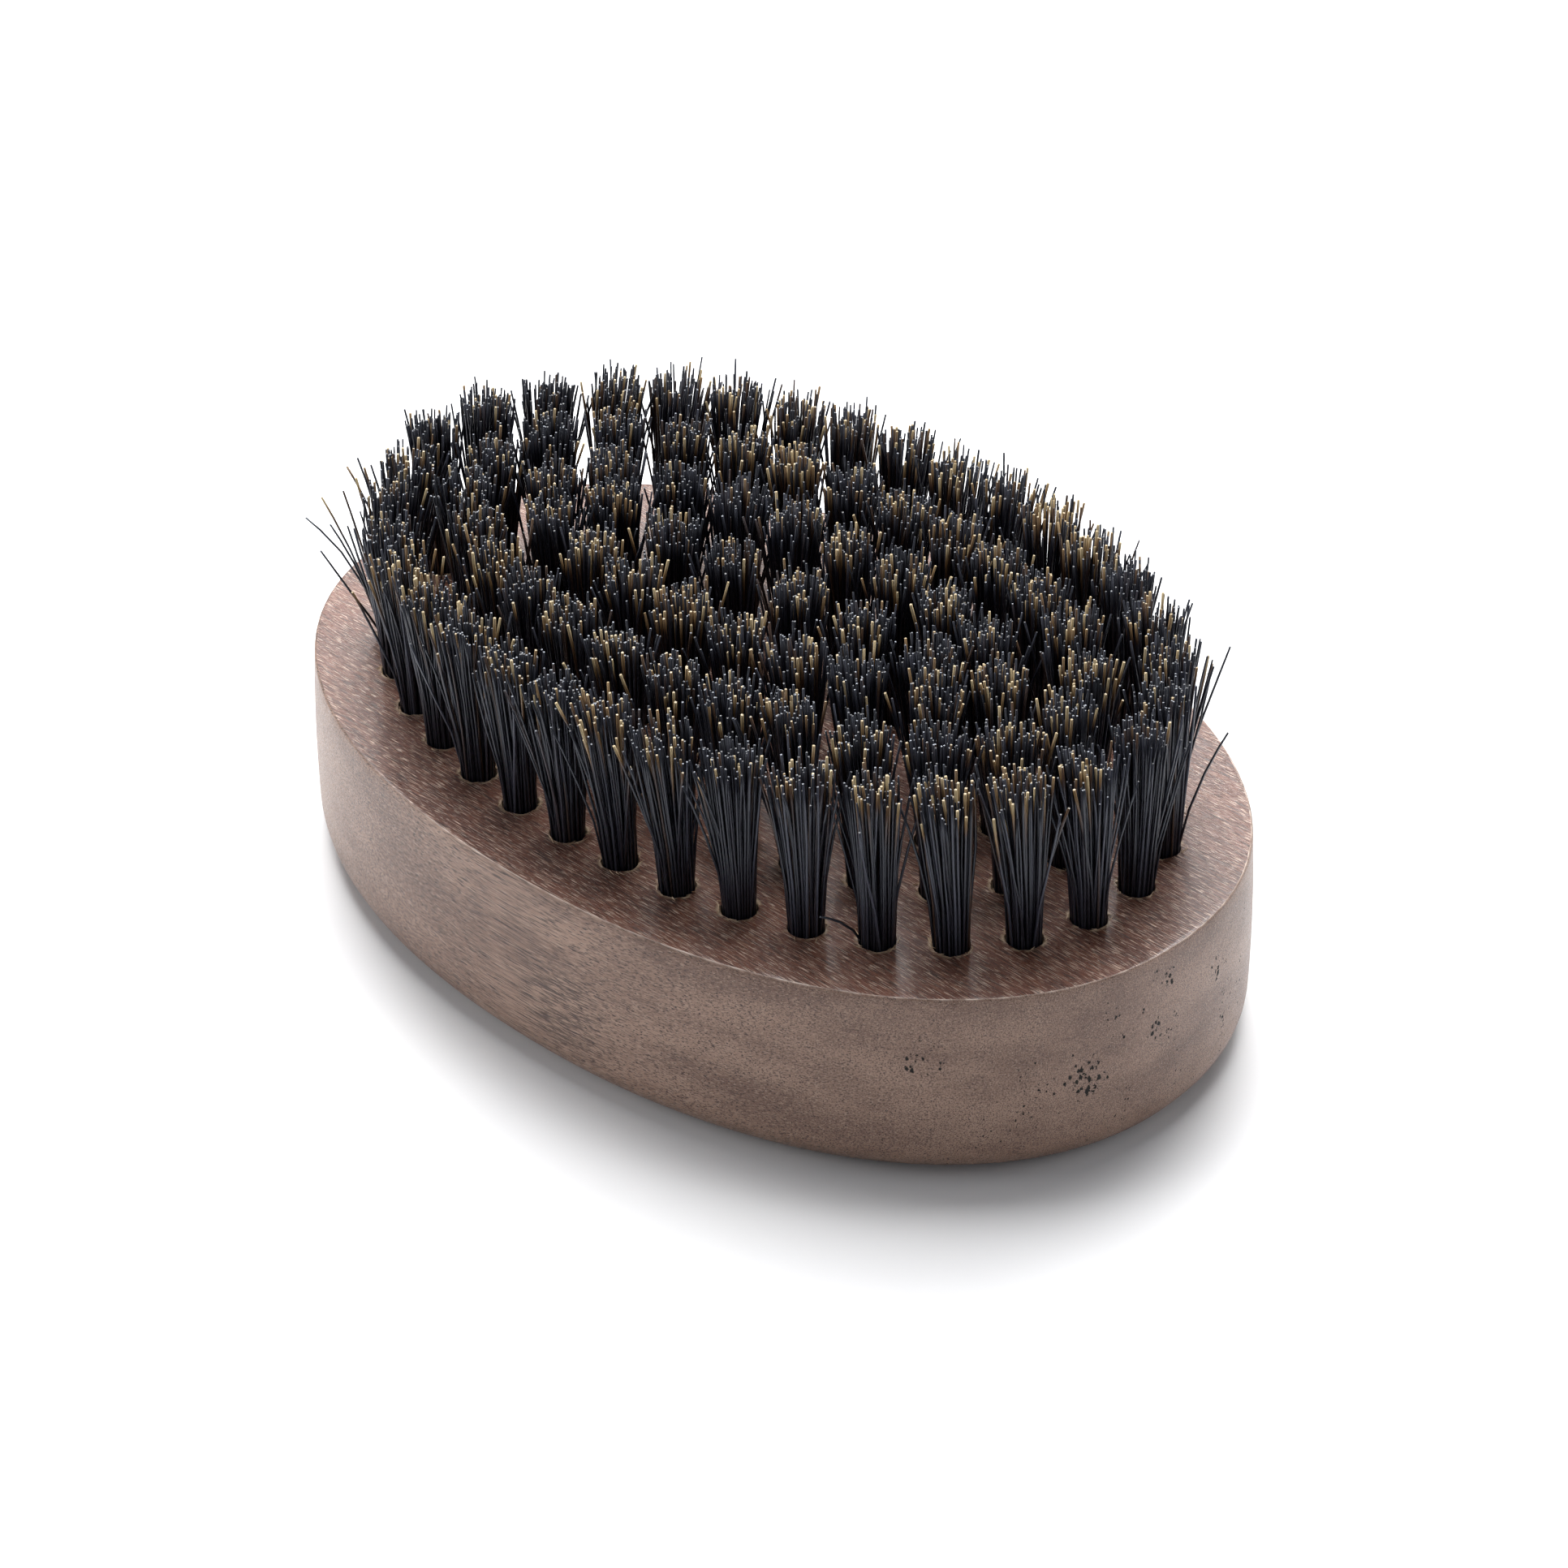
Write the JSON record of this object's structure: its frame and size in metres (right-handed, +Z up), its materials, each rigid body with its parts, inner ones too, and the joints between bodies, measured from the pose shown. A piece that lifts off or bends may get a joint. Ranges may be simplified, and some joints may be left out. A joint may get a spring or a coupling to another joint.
{
  "type": "beard brush",
  "caption": "Oval palm brush for beards: a solid hardwood block with short dark bristle tufts set in rings of drilled holes, each held by a flat-wire anchor.",
  "frame": {"origin": "centre of the block's flat underside", "axes": "+X along the long axis of the oval, +Y across it, +Z up towards the bristle tips"},
  "size_m": [0.0912, 0.0612, 0.033],
  "materials": {
    "wood": "stained brown, thin satin oil finish",
    "bristle": "natural black bristle with a low sheen, some tan tips",
    "anchor_steel": "drawn flat wire"
  },
  "bodies": {
    "root": {"block": "wood", "outer_tufts_left_front": "bristle", "outer_tufts_left_back": "bristle", "outer_tufts_right_front": "bristle", "outer_tufts_right_back": "bristle", "second_tufts_left_front": "bristle", "second_tufts_left_back": "bristle", "second_tufts_right_front": "bristle", "second_tufts_right_back": "bristle", "third_tufts_left_front": "bristle", "third_tufts_left_back": "bristle", "third_tufts_right_front": "bristle", "third_tufts_right_back": "bristle", "outer_anchors_left_front": "anchor_steel", "outer_anchors_left_back": "anchor_steel", "outer_anchors_right_front": "anchor_steel", "outer_anchors_right_back": "anchor_steel", "second_anchors_left_front": "anchor_steel", "second_anchors_left_back": "anchor_steel", "second_anchors_right_front": "anchor_steel", "second_anchors_right_back": "anchor_steel", "third_anchors_left_front": "anchor_steel", "third_anchors_left_back": "anchor_steel", "third_anchors_right_front": "anchor_steel", "third_anchors_right_back": "anchor_steel", "centre_tufts": "bristle", "centre_anchors": "anchor_steel"}
  },
  "joints": []
}
